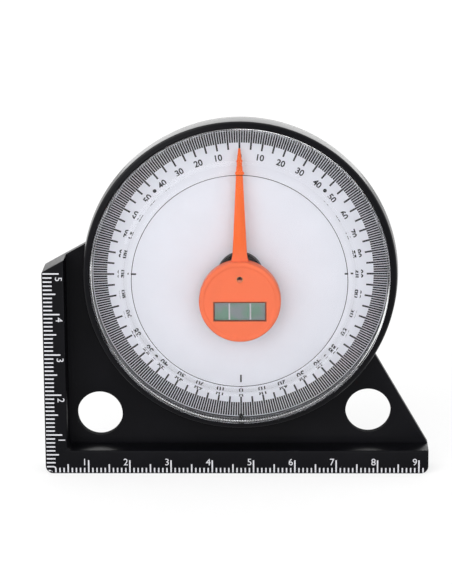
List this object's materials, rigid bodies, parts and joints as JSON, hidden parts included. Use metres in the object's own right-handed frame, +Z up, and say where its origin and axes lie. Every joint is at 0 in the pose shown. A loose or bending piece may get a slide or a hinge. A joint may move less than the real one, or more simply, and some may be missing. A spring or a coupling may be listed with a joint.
{
  "type": "magnetic angle level",
  "caption": "Flat angle level with a pendulum pointer over a round degree dial, a small bubble vial and magnets set in its two ruled measuring edges.",
  "frame": {"origin": "middle of the bounding box at the base face", "axes": "+X to the right along the base ruler, +Y to the back, +Z up; the dial faces -Y"},
  "size_m": [0.0928, 0.0148, 0.0868],
  "materials": {
    "black_abs": "satin moulded",
    "white_print_plate": "smooth, printed",
    "clear_lens": "clear moulded",
    "black_hub": "satin moulded",
    "zinc_screw": "zinc plated",
    "pin_steel": "turned",
    "washer_nylon": "smooth",
    "orange_plastic": "semi-gloss moulded",
    "bush_brass": "turned",
    "ballast_steel": "cut bar",
    "vial_acrylic": "clear polished",
    "vial_plug": "smooth",
    "vial_fluid": "tinted liquid",
    "vial_bubble": "air",
    "magnet_nickel": "nickel plated"
  },
  "bodies": {
    "body": {"housing": "black_abs", "dial_plate": "white_print_plate", "lens": "clear_lens", "pivot_hub": "black_hub", "hub_screw": "zinc_screw", "pivot_pin": "pin_steel", "pivot_washer": "washer_nylon", "base_magnet_far_left": "magnet_nickel", "base_magnet_left": "magnet_nickel", "base_magnet_right": "magnet_nickel", "base_magnet_far_right": "magnet_nickel", "side_magnet_lower": "magnet_nickel", "side_magnet_upper": "magnet_nickel"},
    "pendulum": {"pendulum_body": "orange_plastic", "pendulum_bush": "bush_brass", "ballast_weight": "ballast_steel", "vial_body": "vial_acrylic", "vial_plug": "vial_plug", "vial_fluid": "vial_fluid"},
    "bubble": {"vial_bubble": "vial_bubble"}
  },
  "joints": [
    {"name": "pendulum_swing", "type": "hinge", "parent": "body", "child": "pendulum", "pos_m": [0.0011, 0.00265, 0.049], "axis": [0, 1, 0], "continuous": true},
    {"name": "bubble_run", "type": "slide", "parent": "pendulum", "child": "bubble", "axis": [1, 0, 0], "range_m": [-0.0022, 0.0022]}
  ]
}
